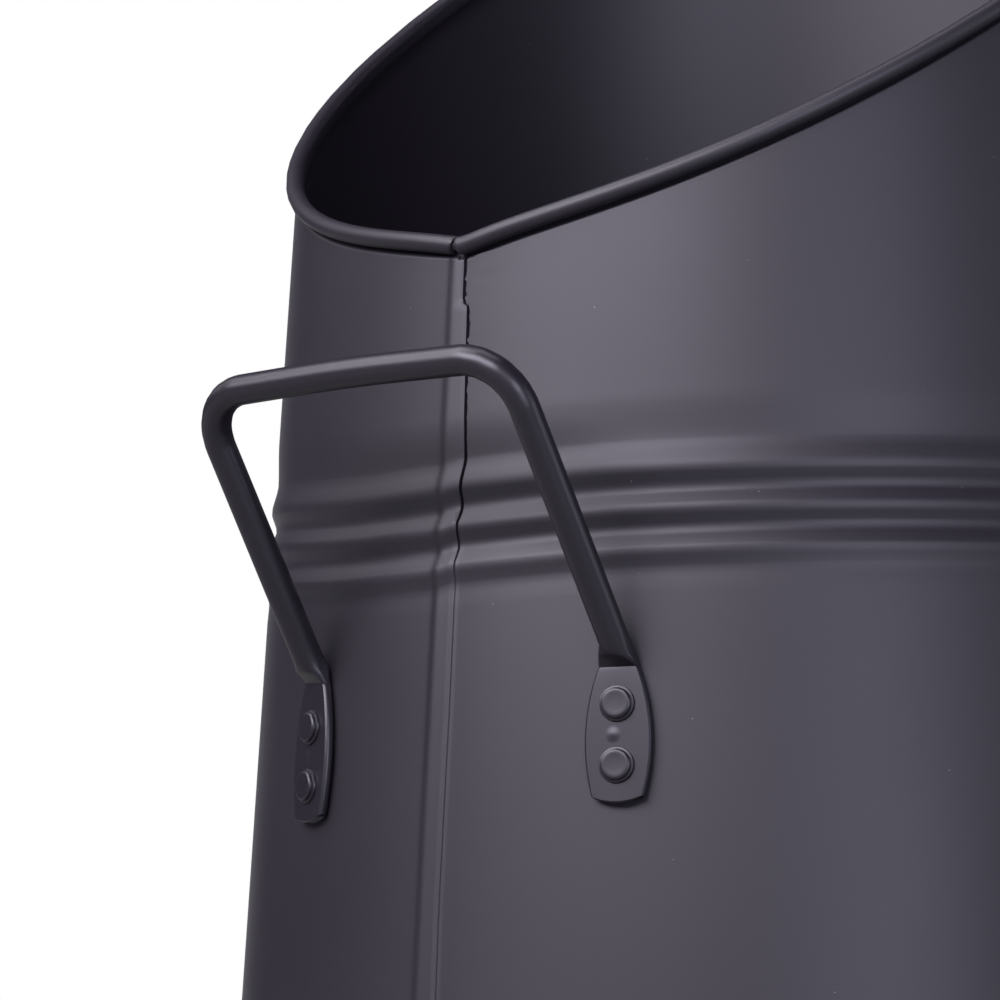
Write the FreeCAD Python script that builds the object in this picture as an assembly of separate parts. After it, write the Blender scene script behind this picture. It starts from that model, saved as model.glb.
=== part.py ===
import FreeCAD, Part
import math
import os

# A coal hod of coated sheet steel, in millimetres. The origin is the centre of the base's underside, +Z is up.
# +Y is the low back, with the seam and the tilting handle. -Y is the pouring side, with the high lip.

Vector = FreeCAD.Vector

# Body sheet
BASE_RADIUS = 140.5  # outside of the wall where it would meet the floor
WALL_TAPER = 0.0762  # radius that the wall loses in each millimetre of height
SHEET = 0.8  # thickness of the coated sheet
MOUTH_HEIGHT = 350.0  # mouth plane on the body's axis
MOUTH_TILT = 34.6  # slope of the mouth in degrees, low at the back

# Pressed ribs
RIB_COUNT = 3
RIB_TOP = 207.6  # height of the uppermost crest
RIB_PITCH = 9.2
RIB_RISE = 0.4  # crests stand out of the wall by this
RIB_DROP = 1.1  # valleys lie inside the wall by this
RIB_RUNOUT = 7.0  # height over which the outer valleys fade into the wall

# Rolled rim and its wire
WIRE_RADIUS = 1.35
ROLL_OUT = 0.5  # centre of the roll outside the wall's own outside
ROLL_SPLIT = 3.0  # width at the top of the V-shaped split in the roll, above the seam
RIM_TOLERANCE = 0.05  # the arcs of the roll keep this close to the mouth's ellipse

# Folded back seam
SEAM_WIDTH = 6.8
SEAM_RISE = 1.2  # thickness of the fold above the wall
SEAM_END_GAP = 0.6  # the fold stops this far short of the roll and of the pan's rim

# Base pan
PAN_RIM = 8.0  # height of the turned-up rim

# Rear handle and bail are bent from the same rod
ROD_RADIUS = 3.5
HANDLE_WIDTH = 91.0  # between the centres of the legs
HANDLE_BAR_HEIGHT = 229.0
HANDLE_STANDOFF = 36.0  # centre of the bar out from the wall
HANDLE_BEND = 13.0
HANDLE_FOOT_HEIGHT = 165.4  # top of the flattened ends
HANDLE_NECK = 7.0  # length over which the rod is drawn flat
FOOT_LENGTH = 31.7
FOOT_WIDTH = 15.0
FOOT_END_WIDTH = 12.2
FOOT_END_CROWN = 1.0
FOOT_THICKNESS = 2.5
FOOT_RIVET_DROP = 10.9  # upper rivet below the top of the flattened end
FOOT_RIVET_PITCH = 13.7

# Bail and its ears
EAR_AZIMUTH = 98.0  # degrees round from the back seam
EAR_HEIGHT = 325.0
EAR_SHEET = 2.0
EAR_WIDTH = 20.0
EAR_LENGTH = 50.0
EAR_BRIDGE = 18.0  # length of the raised middle
EAR_SLOPE = 5.0  # length of each ramp up to it
BAIL_REACH = 147.0  # hinge axis to the centre of the bar
BAIL_CORNER = 112.0
BAIL_FOOT_BEND = 7.0
BAIL_HEAD_RADIUS = 5.2
BAIL_HEAD_LENGTH = 2.5
BAIL_REST_GAP = 0.5  # between the hanging bail and the front wall

# Rivets
RIVET_RADIUS = 2.4
RIVET_HEAD_RADIUS = 4.1
RIVET_HEAD_HEIGHT = 1.5
RIVET_TAIL_RADIUS = 3.8
RIVET_TAIL_HEIGHT = 1.2

# Clearances
SEAT = 0.05  # between pieces that lie on or in each other
PIN_CLEARANCE = 0.08  # bail end in its ear, on the radius
BAIL_PLAY = 1.0  # bail end in its ear, along the hinge

LEAN = math.atan(WALL_TAPER)
TILT = math.radians(MOUTH_TILT)
ROLL_BORE = WIRE_RADIUS + SEAT
ROLL_RADIUS = ROLL_BORE + SHEET
UP = Vector(0, 0, 1)
ACROSS = Vector(1, 0, 0)


def wall_radius(height):
    return BASE_RADIUS - WALL_TAPER * height


def wall_frame(azimuth, height):
    """Frame on the wall's outside: X round the wall, Y up the wall, Z straight out. Azimuth 0 is the back."""
    outward = Vector(math.sin(azimuth), math.cos(azimuth), 0)
    normal = outward * math.cos(LEAN) + UP * math.sin(LEAN)
    upward = UP * math.cos(LEAN) - outward * math.sin(LEAN)
    round_wall = upward.cross(normal)
    spot = outward * wall_radius(height) + UP * height
    return FreeCAD.Placement(FreeCAD.Matrix(
        round_wall.x, upward.x, normal.x, spot.x,
        round_wall.y, upward.y, normal.y, spot.y,
        round_wall.z, upward.z, normal.z, spot.z,
        0, 0, 0, 1))


def wall_point(height, offset):
    """Point in the XZ plane, at a height up the wall's outside and an offset straight out of it."""
    return Vector(wall_radius(height) + offset * math.cos(LEAN), 0, height + offset * math.sin(LEAN))


def rib_steps():
    """Height and offset of each crest and valley, with the ends of the ribbed band, from low to high."""
    half = RIB_PITCH / 2
    lowest = RIB_TOP - RIB_PITCH * (RIB_COUNT - 1) - half
    waves = [(lowest + step * half, RIB_RISE if step % 2 else -RIB_DROP) for step in range(2 * RIB_COUNT + 1)]
    return [(lowest - RIB_RUNOUT, 0)] + waves + [(RIB_TOP + half + RIB_RUNOUT, 0)]


def swell_edges(low, high, offset):
    """Two arcs that carry the wall smoothly from one crest or valley to the next."""
    (low_height, low_offset), (high_height, high_offset) = low, high
    run, rise = high_height - low_height, high_offset - low_offset
    turn = 2 * math.atan(rise / run)
    radius = run / 2 / math.sin(turn)
    run_part, rise_part = radius * math.sin(turn / 2), radius * (1 - math.cos(turn / 2))
    first, last = wall_point(low_height, offset + low_offset), wall_point(high_height, offset + high_offset)
    middle = (first + last) / 2
    leaving = wall_point(low_height + run_part, offset + low_offset + rise_part)
    arriving = wall_point(high_height - run_part, offset + high_offset - rise_part)
    return [Part.Arc(first, leaving, middle).toShape(), Part.Arc(middle, arriving, last).toShape()]


def wall_line(offset, low, high):
    """Edges up the wall at an offset from its outside, through the ribbed band."""
    steps = rib_steps()
    edges = [Part.LineSegment(wall_point(low, offset), wall_point(steps[0][0], offset)).toShape()]
    for before, after in zip(steps, steps[1:]):
        edges += swell_edges(before, after, offset)
    edges.append(Part.LineSegment(wall_point(steps[-1][0], offset), wall_point(high, offset)).toShape())
    return edges


def wall_section(inside, outside, low, high):
    """Face between two offsets of the wall, in the XZ plane."""
    ends = [Part.LineSegment(wall_point(h, inside), wall_point(h, outside)).toShape() for h in (low, high)]
    edges = wall_line(inside, low, high) + wall_line(outside, low, high) + ends
    return Part.Face(Part.Wire(Part.__sortEdges__(edges)))


def polygon(points):
    return Part.Face(Part.makePolygon(points + points[:1]))


def above_mouth(drop):
    """Block that takes away everything above the mouth plane lowered by drop."""
    size = 4 * BASE_RADIUS
    block = Part.makeBox(size, size, size, Vector(-size / 2, -size / 2, 0))
    block.rotate(Vector(0, 0, 0), ACROSS, -MOUTH_TILT)
    block.translate(UP * (MOUTH_HEIGHT - drop / math.cos(TILT)))
    return block


def mouth_reach(radius_offset, side):
    """Distance from the axis to the mouth's edge at the back (side 1) or the front (side -1)."""
    return (wall_radius(MOUTH_HEIGHT) + radius_offset) / (1 - side * WALL_TAPER * math.tan(TILT))


def round_bar(edges, radius):
    """Bar along lines and arcs that run into each other smoothly."""
    runs = []
    for edge in edges:
        start, end = edge.valueAt(edge.FirstParameter), edge.valueAt(edge.LastParameter)
        ring = Part.Circle(start, edge.tangentAt(edge.FirstParameter), radius)
        section = Part.Face(Part.Wire(ring.toShape()))
        if edge.Curve.TypeId == "Part::GeomCircle":
            turn = math.degrees(edge.LastParameter - edge.FirstParameter)
            runs.append(section.revolve(edge.Curve.Center, edge.Curve.Axis, turn))
        else:
            runs.append(section.extrude(end - start))
    return runs[0].fuse(runs[1:]).removeSplitter()


def roll_centre(x, y):
    """Point of the mouth plane."""
    return Vector(x, y, MOUTH_HEIGHT - y * math.tan(TILT))


def rim_ring(radius):
    """Bar along the rolled edge. The mouth plane cuts the wall in an ellipse, followed here by arcs."""
    back, front = mouth_reach(ROLL_OUT, 1), mouth_reach(ROLL_OUT, -1)
    middle_y = (back - front) / 2
    middle = roll_centre(0, middle_y)
    half_width = math.sqrt((wall_radius(middle.z) + ROLL_OUT) ** 2 - middle_y ** 2)
    ellipse = Part.Ellipse(roll_centre(0, back), roll_centre(half_width, middle_y), middle)
    arcs = ellipse.toBSpline(0, 2 * math.pi).toBiArcs(RIM_TOLERANCE)
    return round_bar([arc.toShape() for arc in arcs], radius)


def roll_split():
    """Wedge that opens the roll at the back, where its two ends meet above the seam."""
    middle = roll_centre(0, mouth_reach(ROLL_OUT, 1))
    bottom, top = middle.z - ROLL_BORE, middle.z + ROLL_RADIUS + SHEET
    near = middle.y - 2 * ROLL_RADIUS
    wedge = polygon([
        Vector(-SHEET / 4, near, bottom), Vector(SHEET / 4, near, bottom),
        Vector(ROLL_SPLIT / 2, near, top), Vector(-ROLL_SPLIT / 2, near, top)])
    return wedge.extrude(Vector(0, 4 * ROLL_RADIUS, 0))


def bent_rod(corners, bends, placement):
    """Rod through flat corner points, with each inner corner bent to its radius."""
    edges, start = [], corners[0]
    for before, corner, after, bend in zip(corners, corners[1:], corners[2:], bends):
        into, out = (corner - before).normalize(), (after - corner).normalize()
        turn = into.getAngle(out)
        trim = bend * math.tan(turn / 2)
        first, last = corner - into * trim, corner + out * trim
        to_centre = (out - into).normalize()
        middle = corner + to_centre * (bend / math.cos(turn / 2) - bend)
        edges.append(Part.LineSegment(start, first).toShape())
        edges.append(Part.Arc(first, middle, last).toShape())
        start = last
    edges.append(Part.LineSegment(start, corners[-1]).toShape())
    rod = round_bar(edges, ROD_RADIUS)
    rod.Placement = placement
    return rod


def rod_plane(spot, up):
    """Placement whose XY plane holds a bent rod: X stays across the hod, Y runs along up."""
    facing = ACROSS.cross(up)
    return FreeCAD.Placement(FreeCAD.Matrix(
        1, up.x, facing.x, spot.x,
        0, up.y, facing.y, spot.y,
        0, up.z, facing.z, spot.z,
        0, 0, 0, 1))


def rivet(frame, along):
    """Rivet through the handle's flattened end and the wall, at a distance up the wall from the frame."""
    head_seat = SEAT + FOOT_THICKNESS + SEAT
    hollow = RIVET_TAIL_RADIUS ** 2 / wall_radius(frame.Base.z)
    tail_seat = -SHEET - hollow - SEAT
    tail_end = tail_seat - RIVET_TAIL_HEIGHT
    corners = [
        Vector(0, 0, tail_end), Vector(RIVET_TAIL_RADIUS, 0, tail_end),
        Vector(RIVET_TAIL_RADIUS, 0, tail_seat), Vector(RIVET_RADIUS, 0, tail_seat),
        Vector(RIVET_RADIUS, 0, head_seat), Vector(RIVET_HEAD_RADIUS, 0, head_seat)]
    outline = [Part.LineSegment(before, after).toShape() for before, after in zip(corners, corners[1:])]
    crown = head_seat + RIVET_HEAD_HEIGHT
    dome_radius = (RIVET_HEAD_RADIUS ** 2 + RIVET_HEAD_HEIGHT ** 2) / (2 * RIVET_HEAD_HEIGHT)
    half_angle = math.asin(RIVET_HEAD_RADIUS / dome_radius) / 2
    shoulder = Vector(dome_radius * math.sin(half_angle), 0, crown - dome_radius * (1 - math.cos(half_angle)))
    outline.append(Part.Arc(corners[-1], shoulder, Vector(0, 0, crown)).toShape())
    outline.append(Part.LineSegment(Vector(0, 0, crown), corners[0]).toShape())
    solid = Part.Face(Part.Wire(outline)).revolve(Vector(0, 0, 0), UP, 360)
    solid.translate(Vector(0, along, 0))
    solid.Placement = frame.multiply(solid.Placement)
    return solid


def rivet_hole(frame, along):
    """Drill for one rivet, through the flattened end and the wall behind it."""
    depth = RIVET_HEAD_RADIUS + FOOT_THICKNESS
    drill = Part.makeCylinder(RIVET_RADIUS + SEAT, 2 * depth, Vector(0, along, -depth))
    drill.Placement = frame.multiply(drill.Placement)
    return drill


def cut_all(shape, tools):
    for tool in tools:
        shape = shape.cut(tool)
    return shape


def handle_feet():
    """Frames at the tops of the rear handle's two flattened ends, right side first."""
    out = wall_radius(HANDLE_FOOT_HEIGHT) + (SEAT + FOOT_THICKNESS / 2) * math.cos(LEAN)
    azimuth = math.asin(HANDLE_WIDTH / 2 / out)
    return [wall_frame(side * azimuth, HANDLE_FOOT_HEIGHT) for side in (1, -1)]


def handle_rivet_places():
    return [(frame, -FOOT_RIVET_DROP - FOOT_RIVET_PITCH * row) for frame in handle_feet() for row in (0, 1)]


def handle_foot(frame):
    """Flattened, riveted end of the rear handle, lying against the wall below its frame."""
    neck, end = Vector(ROD_RADIUS, 0, 0), Vector(FOOT_END_WIDTH / 2, -FOOT_LENGTH, 0)
    belly = Vector(FOOT_WIDTH / 2, -FOOT_RIVET_DROP - FOOT_RIVET_PITCH / 2, 0)
    tip = Vector(0, -FOOT_LENGTH - FOOT_END_CROWN, 0)

    def mirrored(point):
        return Vector(-point.x, point.y, 0)

    outline = Part.Wire([
        Part.LineSegment(mirrored(neck), neck).toShape(),
        Part.Arc(neck, belly, end).toShape(),
        Part.Arc(end, tip, mirrored(end)).toShape(),
        Part.Arc(mirrored(end), mirrored(belly), mirrored(neck)).toShape(),
    ])
    plate = Part.Face(outline).extrude(UP * FOOT_THICKNESS)
    plate.translate(UP * SEAT)
    plate.Placement = frame.multiply(plate.Placement)
    return plate


def four_corners(centre, along_x, along_y):
    return [centre + along_x * i + along_y * j for i, j in ((1, 1), (-1, 1), (-1, -1), (1, -1))]


def neck_loft(foot, rod_end, across, facing):
    """Drawn-down length between the round rod and the flat end."""
    frame = foot.Rotation
    flat_centre = foot.multVec(UP * (SEAT + FOOT_THICKNESS / 2))
    flat = four_corners(
        flat_centre, frame.multVec(Vector(-ROD_RADIUS, 0, 0)), frame.multVec(UP * (FOOT_THICKNESS / 2)))
    diagonal = ROD_RADIUS / math.sqrt(2)
    ring = four_corners(rod_end, across * diagonal, facing * diagonal)
    sides = [facing, -across, -facing, across]
    arcs = [
        Part.Arc(ring[i], rod_end + sides[i] * ROD_RADIUS, ring[(i + 1) % 4]).toShape()
        for i in range(4)]
    return Part.makeLoft([Part.makePolygon(flat + flat[:1]), Part.Wire(arcs)], True, True)


def make_rear_handle():
    half = HANDLE_WIDTH / 2
    feet = handle_feet()
    base = feet[0].multVec(UP * (SEAT + FOOT_THICKNESS / 2))
    bar_y = wall_radius(HANDLE_BAR_HEIGHT) + HANDLE_STANDOFF
    leg = Vector(0, bar_y - base.y, HANDLE_BAR_HEIGHT - base.z)
    length = leg.Length
    leg.normalize()
    plane = rod_plane(Vector(0, base.y, base.z), leg)
    corners = [
        Vector(half, HANDLE_NECK, 0), Vector(half, length, 0),
        Vector(-half, length, 0), Vector(-half, HANDLE_NECK, 0)]
    handle = bent_rod(corners, [HANDLE_BEND, HANDLE_BEND], plane)
    facing = leg.cross(ACROSS)
    for foot, side in zip(feet, (1, -1)):
        rod_end = plane.multVec(Vector(side * half, HANDLE_NECK, 0))
        handle = handle.fuse([neck_loft(foot, rod_end, ACROSS, facing), handle_foot(foot)])
    handle = cut_all(handle, [rivet_hole(*place) for place in handle_rivet_places()])
    return handle.removeSplitter()


def make_rear_handle_rivets():
    return Part.makeCompound([rivet(*place) for place in handle_rivet_places()])


def ear_frame(side):
    return wall_frame(side * math.radians(EAR_AZIMUTH), EAR_HEIGHT)


def ear_skew():
    """Slope between the hinge axis, which runs straight across, and the ear's own axis."""
    straight = abs(ear_frame(1).Rotation.multVec(UP).x)
    return math.sqrt(1 - straight ** 2) / straight


def head_room():
    """Gap on each side of the bail's head, inside the ear."""
    return BAIL_PLAY + BAIL_HEAD_RADIUS * ear_skew()


def ear_lift():
    """Height of the ear's bridge over the wall, just enough for the bail's head."""
    return BAIL_HEAD_LENGTH + 2 * head_room()


def hinge_point():
    """Where the hinge axis passes through the middle of the right ear's bridge."""
    return ear_frame(1).multVec(UP * (ear_lift() + EAR_SHEET / 2))


def hinge_bore():
    """Long drill along the hinge axis that fits the bail's ends."""
    axis = hinge_point()
    reach = 2 * axis.x
    return Part.makeCylinder(
        ROD_RADIUS + PIN_CLEARANCE, 2 * reach, Vector(-reach, axis.y, axis.z), ACROSS)


def thick_strip(points, thickness):
    """Section of a bent strip, given the line of its inner face in the YZ plane from low Y to high Y."""
    runs = [(after - before).normalize() for before, after in zip(points, points[1:])]
    normals = [Vector(0, -run.z, run.y) for run in runs]
    outer = []
    for point, before, after in zip(points, normals[:1] + normals, normals + normals[-1:]):
        mitre = (before + after).normalize()
        outer.append(point + mitre * (thickness / mitre.dot(after)))
    return polygon(points + outer[::-1])


def make_ear(side):
    lift = ear_lift()
    ramp = EAR_BRIDGE / 2 + EAR_SLOPE
    inner = [
        Vector(0, -EAR_LENGTH / 2, SEAT), Vector(0, -ramp, SEAT), Vector(0, -EAR_BRIDGE / 2, lift),
        Vector(0, EAR_BRIDGE / 2, lift), Vector(0, ramp, SEAT), Vector(0, EAR_LENGTH / 2, SEAT)]
    ear = thick_strip(inner, EAR_SHEET).extrude(ACROSS * EAR_WIDTH)
    ear.translate(ACROSS * (-EAR_WIDTH / 2))
    round_end = EAR_WIDTH / 2
    straight = EAR_LENGTH / 2 - round_end
    tall = lift + 2 * EAR_SHEET
    pill = Part.makeBox(EAR_WIDTH, 2 * straight, tall, Vector(-round_end, -straight, 0))
    for end in (straight, -straight):
        pill = pill.fuse(Part.makeCylinder(round_end, tall, Vector(0, end, 0)))
    ear = ear.common(pill.removeSplitter())
    ear.Placement = ear_frame(side).multiply(ear.Placement)
    return ear.cut(hinge_bore())


def bail_rest_angle():
    """Angle from upright, forwards and down, at which the bail lies on the front wall."""
    hinge = hinge_point()
    to_wall = (ROD_RADIUS + BAIL_REST_GAP) / math.cos(LEAN) + wall_radius(hinge.z) + hinge.y
    return math.pi - math.asin(to_wall * math.cos(LEAN) / BAIL_REACH) - LEAN


def make_bail():
    hinge = hinge_point()
    half_sheet = EAR_SHEET / 2 * math.sqrt(1 + ear_skew() ** 2)
    head_face = hinge.x - half_sheet - head_room()
    tip = head_face - BAIL_HEAD_LENGTH
    leg = hinge.x + half_sheet + BAIL_PLAY + BAIL_FOOT_BEND
    angle = bail_rest_angle()
    plane = rod_plane(Vector(0, hinge.y, hinge.z), Vector(0, -math.sin(angle), math.cos(angle)))
    corners = [
        Vector(tip, 0, 0), Vector(leg, 0, 0), Vector(leg, BAIL_REACH, 0),
        Vector(-leg, BAIL_REACH, 0), Vector(-leg, 0, 0), Vector(-tip, 0, 0)]
    bends = [BAIL_FOOT_BEND, BAIL_CORNER, BAIL_CORNER, BAIL_FOOT_BEND]
    bail = bent_rod(corners, bends, plane)
    for start in (tip, -head_face):
        spot = Vector(start, hinge.y, hinge.z)
        bail = bail.fuse(Part.makeCylinder(BAIL_HEAD_RADIUS, BAIL_HEAD_LENGTH, spot, ACROSS))
    return bail.removeSplitter()


def make_base_pan():
    rim_inner = wall_radius(PAN_RIM) + SEAT
    corner_inner = wall_radius(SHEET) + SEAT
    section = polygon([
        Vector(0, 0, 0), Vector(corner_inner + SHEET, 0, 0), Vector(rim_inner + SHEET, 0, PAN_RIM),
        Vector(rim_inner, 0, PAN_RIM), Vector(corner_inner, 0, SHEET), Vector(0, 0, SHEET)])
    return section.revolve(Vector(0, 0, 0), UP, 360)


def make_seam():
    """Folded back seam, from above the pan's rim to below the roll."""
    section = wall_section(-SHEET / 2, SEAM_RISE, PAN_RIM + SEAM_END_GAP, MOUTH_HEIGHT)
    width = math.degrees(SEAM_WIDTH / wall_radius(RIB_TOP))
    seam = section.revolve(Vector(0, 0, 0), UP, width)
    seam.rotate(Vector(0, 0, 0), UP, 90 - width / 2)
    return seam.cut(above_mouth(ROLL_RADIUS + SEAM_END_GAP))


def make_body_sheet():
    lip = MOUTH_HEIGHT + 2 * mouth_reach(0, -1) * math.tan(TILT)
    foot = SHEET + SEAT + SHEET * math.sin(LEAN)
    wall = wall_section(-SHEET, 0, foot, lip).revolve(Vector(0, 0, 0), UP, 360)
    body = wall.cut(above_mouth(0)).fuse(make_seam())
    body = body.fuse(rim_ring(ROLL_RADIUS)).cut(rim_ring(ROLL_BORE)).cut(roll_split())
    return cut_all(body, [rivet_hole(*place) for place in handle_rivet_places()])


PIECES = {
    "body_sheet": make_body_sheet(),
    "rim_wire": rim_ring(WIRE_RADIUS),
    "base_pan": make_base_pan(),
    "rear_handle": make_rear_handle(),
    "rear_handle_rivets": make_rear_handle_rivets(),
    "left_ear": make_ear(-1),
    "right_ear": make_ear(1),
    "bail": make_bail(),
}

os.makedirs("parts", exist_ok=True)
for name, shape in PIECES.items():
    shape.exportStep("parts/" + name + ".step")
    print(name, len(shape.Solids), "solid", shape.isValid(), round(shape.Volume, 1), "mm3")

print("hinge axis", hinge_point(), "rest angle", math.degrees(bail_rest_angle()))
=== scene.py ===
"""Dresses a coal hod of coated sheet steel: its fine shapes, its finish, and the studio that shows it."""

import math

import bpy
from mathutils import Matrix, Vector, noise


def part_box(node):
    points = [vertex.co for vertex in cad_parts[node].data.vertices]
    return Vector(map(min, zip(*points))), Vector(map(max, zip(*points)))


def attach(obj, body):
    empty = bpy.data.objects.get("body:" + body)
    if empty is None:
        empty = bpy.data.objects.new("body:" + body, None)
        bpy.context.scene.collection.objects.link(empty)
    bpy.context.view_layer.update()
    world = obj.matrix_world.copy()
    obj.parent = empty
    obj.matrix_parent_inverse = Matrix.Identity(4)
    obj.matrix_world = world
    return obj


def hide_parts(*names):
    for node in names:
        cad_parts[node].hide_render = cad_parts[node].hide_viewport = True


bl_info = {
    "name": "Coal hod",
    "version": (1, 0, 0),
    "blender": (4, 5, 0),
    "location": "3D View > Sidebar > Coal hod",
    "description": "Models and finishes the pieces of a coal hod round its construction frame",
    "category": "Object",
}

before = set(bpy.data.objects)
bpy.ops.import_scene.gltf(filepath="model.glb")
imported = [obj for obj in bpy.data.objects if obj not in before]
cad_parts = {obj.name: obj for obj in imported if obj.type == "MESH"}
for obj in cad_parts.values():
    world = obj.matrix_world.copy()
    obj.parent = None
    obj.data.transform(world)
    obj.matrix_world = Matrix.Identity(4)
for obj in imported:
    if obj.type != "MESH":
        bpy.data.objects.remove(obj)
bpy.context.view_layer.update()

MM = 0.001
UP = Vector((0, 0, 1))
ACROSS = Vector((1, 0, 0))


# Properties that a user would change

def length(name, description, millimetres):
    return bpy.props.FloatProperty(
        name=name, description=description, default=millimetres * MM, unit="LENGTH", precision=5)


def angle(name, description, degrees):
    return bpy.props.FloatProperty(
        name=name, description=description, default=math.radians(degrees), subtype="ANGLE")


def number(name, description, default):
    return bpy.props.FloatProperty(name=name, description=description, default=default, precision=4)


def count(name, description, default):
    return bpy.props.IntProperty(name=name, description=description, default=default, min=1)


def colour(name, description, default):
    return bpy.props.FloatVectorProperty(
        name=name, description=description, default=default, subtype="COLOR", min=0, max=1)


class HodWall(bpy.types.PropertyGroup):
    """Sizes of the body sheet with its ribs, seam and rolled rim."""

    base_radius: length("Base radius", "Outside of the wall where it would meet the floor", 140.5)
    taper: number("Taper", "Radius that the wall loses in each unit of height", 0.0762)
    sheet: length("Sheet", "Thickness of the coated sheet", 0.8)
    mouth_height: length("Mouth height", "Mouth plane on the body's axis", 350)
    mouth_tilt: angle("Mouth tilt", "Slope of the mouth, low at the back", 34.6)
    rib_count: count("Ribs", "Number of pressed ribs", 3)
    rib_top: length("Top rib", "Height of the uppermost crest", 207.6)
    rib_pitch: length("Rib pitch", "Height from one crest to the next", 9.1)
    rib_rise: length("Rib rise", "Crests stand out of the wall by this", 0.7)
    rib_drop: length("Rib drop", "Valleys lie inside the wall by this", 0.85)
    rib_softness: number("Rib softness", "Ribs go from straight flanks, 0, to smooth waves, 1", 0.55)
    rib_head: length("Rib head", "Bottom of the shallow above the top crest, up from it", 6.4)
    rib_head_drop: length("Rib head drop", "Depth of the shallow above the top crest", 0.5)
    rib_head_runout: length("Rib head runout", "Height over which that shallow fades into the wall", 10)
    rib_foot_drop: length("Rib foot drop", "Depth of the wall under the lowest crest", 0.15)
    rib_foot_runout: length("Rib foot runout", "Height over which that depth fades into the wall", 5)
    rib_sag: length("Rib sag", "The ribs lie lower by this on the +X side of the seam", 1.7)
    rib_sag_other: length("Other rib sag", "The ribs lie lower by this on the -X side of the seam", 0.8)
    rib_climb: length("Rib climb", "Rise of the ribs from the seam towards the +X side", 6.2)
    roll_radius: length("Roll radius", "Radius of the rolled rim", 2.2)
    roll_out: length("Roll out", "Centre of the roll outside the wall's outside", 0.5)
    wire_radius: length("Wire radius", "Radius of the wire inside the roll", 1.35)
    dip_depth: length("Dip", "Depth of the rim's notch-like dip above the seam", 4.4)
    dip_spread: angle("Dip spread", "Angle round the wall over which the dip fades", 8)
    dip_middle: angle("Dip middle", "Lowest point of the rim, round from the back", -0.7)
    split_width: length("Split", "Gap between the two ends of the roll at its top", 0.2)
    split_flare: length("Split flare", "Each end of the roll stands back by this more at its bottom", 1)
    seam_soft_top: length("Soft edge, top", "Rounded edge of the seam at the rim, from the back line", 1.7)
    seam_soft_spread: number("Soft edge spread", "Distance that the rounded edge gains per unit down", 0.019)
    seam_notch: length("Notch height", "Height where the cut edge steps in under the rim", 249)
    seam_notch_edge: length("Notch edge", "Cut edge above the notch, from the back line", 1.65)
    seam_rise: length("Seam rise", "Rounded edge of the lap above the wall", 0.8)
    seam_edge_rise: length("Cut edge rise", "Cut edge of the lap above the wall, above the ribs", 0.25)
    seam_edge_rise_low: length("Low cut edge rise", "Cut edge of the lap above the wall, below the ribs", 0.1)
    seam_ridge: length("Seam ridge", "Ridge along the cut edge below the ribs", 0.11)
    seam_groove: length("Seam groove", "Depth of the open joint beside the cut edge, above the ribs", 0.9)
    seam_groove_low: length("Low seam groove", "Depth of the same joint below the ribs", 0.05)
    seam_gap: length("Seam gap", "Width of the open joint above the ribs", 0.95)
    seam_gap_low: length("Low seam gap", "Width of the joint's rise below the ribs", 0.5)
    seam_jag: number("Seam jag", "Unevenness of the open joint's width", 1)
    seam_lip: length("Seam lip", "Ridge on the far side of the joint below the ribs", 0.15)
    seam_dip: length("Seam dip", "Shallow beyond that ridge", 0.03)
    rim_recess: length("Rim recess", "Depth of the crease under the rolled rim", 1)
    waviness: length("Waviness", "Unevenness of the rolled sheet", 0.12)
    pan_rim: length("Pan rim", "Height of the base pan's turned-up rim", 8)


class HodHandle(bpy.types.PropertyGroup):
    """Sizes of the rear handle, its flattened ends and its rivets."""

    rod_radius: length("Rod radius", "Radius of the rod of the handle and bail", 3.5)
    width: length("Width", "Between the centres of the legs", 91)
    bar_height: length("Bar height", "Height of the bar's centre", 229)
    standoff: length("Standoff", "Centre of the bar out from the wall", 36)
    bend: length("Bend", "Radius of the bends at the bar's ends", 13)
    bow: length("Bow", "Rise of the bar's middle", 0.7)
    foot_height: length("Foot height", "Crease at the top of the flattened end at +X", 165.1)
    crease_drop: length("Crease drop", "The crease at -X lies lower by this", 2)
    neck: length("Neck", "Length over which the rod is drawn flat", 6.5)
    neck_lean: angle("Neck lean", "The neck at -X leans out of its flattened end by this", 36)
    foot_length: length("Foot length", "Length of the flattened end at +X", 31.4)
    foot_top_width: length("Foot top width", "Width of the flattened ends at the crease", 9.4)
    foot_inset: length("Foot inset", "The flattened end at +X stands in from its leg towards the seam", 1.5)
    foot_width: length("Foot width", "Greatest width of the flattened ends", 15.6)
    foot_end_width: length("Foot end width", "Width of the flattened ends at their tips", 12.2)
    foot_crown: length("Foot crown", "Roundness of the tips", 1.3)
    foot_thickness: length("Foot thickness", "Thickness of the flattened ends", 2.5)
    rivet_drop: length("Rivet drop", "Upper rivet below the crease at +X", 10.6)
    rivet_pitch: length("Rivet pitch", "Between the two rivets of one end", 13.7)
    rivet_radius: length("Rivet head", "Radius of the rivet heads", 4.1)
    rivet_height: length("Rivet height", "Height of the rivet heads", 1.5)
    shank_radius: length("Rivet shank", "Radius of the rivets in their holes", 2.4)
    tail_radius: length("Rivet tail", "Radius of the tails on the inside", 3.8)
    tail_height: length("Tail height", "Height of the tails on the inside", 1.2)
    seat: length("Seat", "Clearance between pieces that lie on each other", 0.05)


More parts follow.
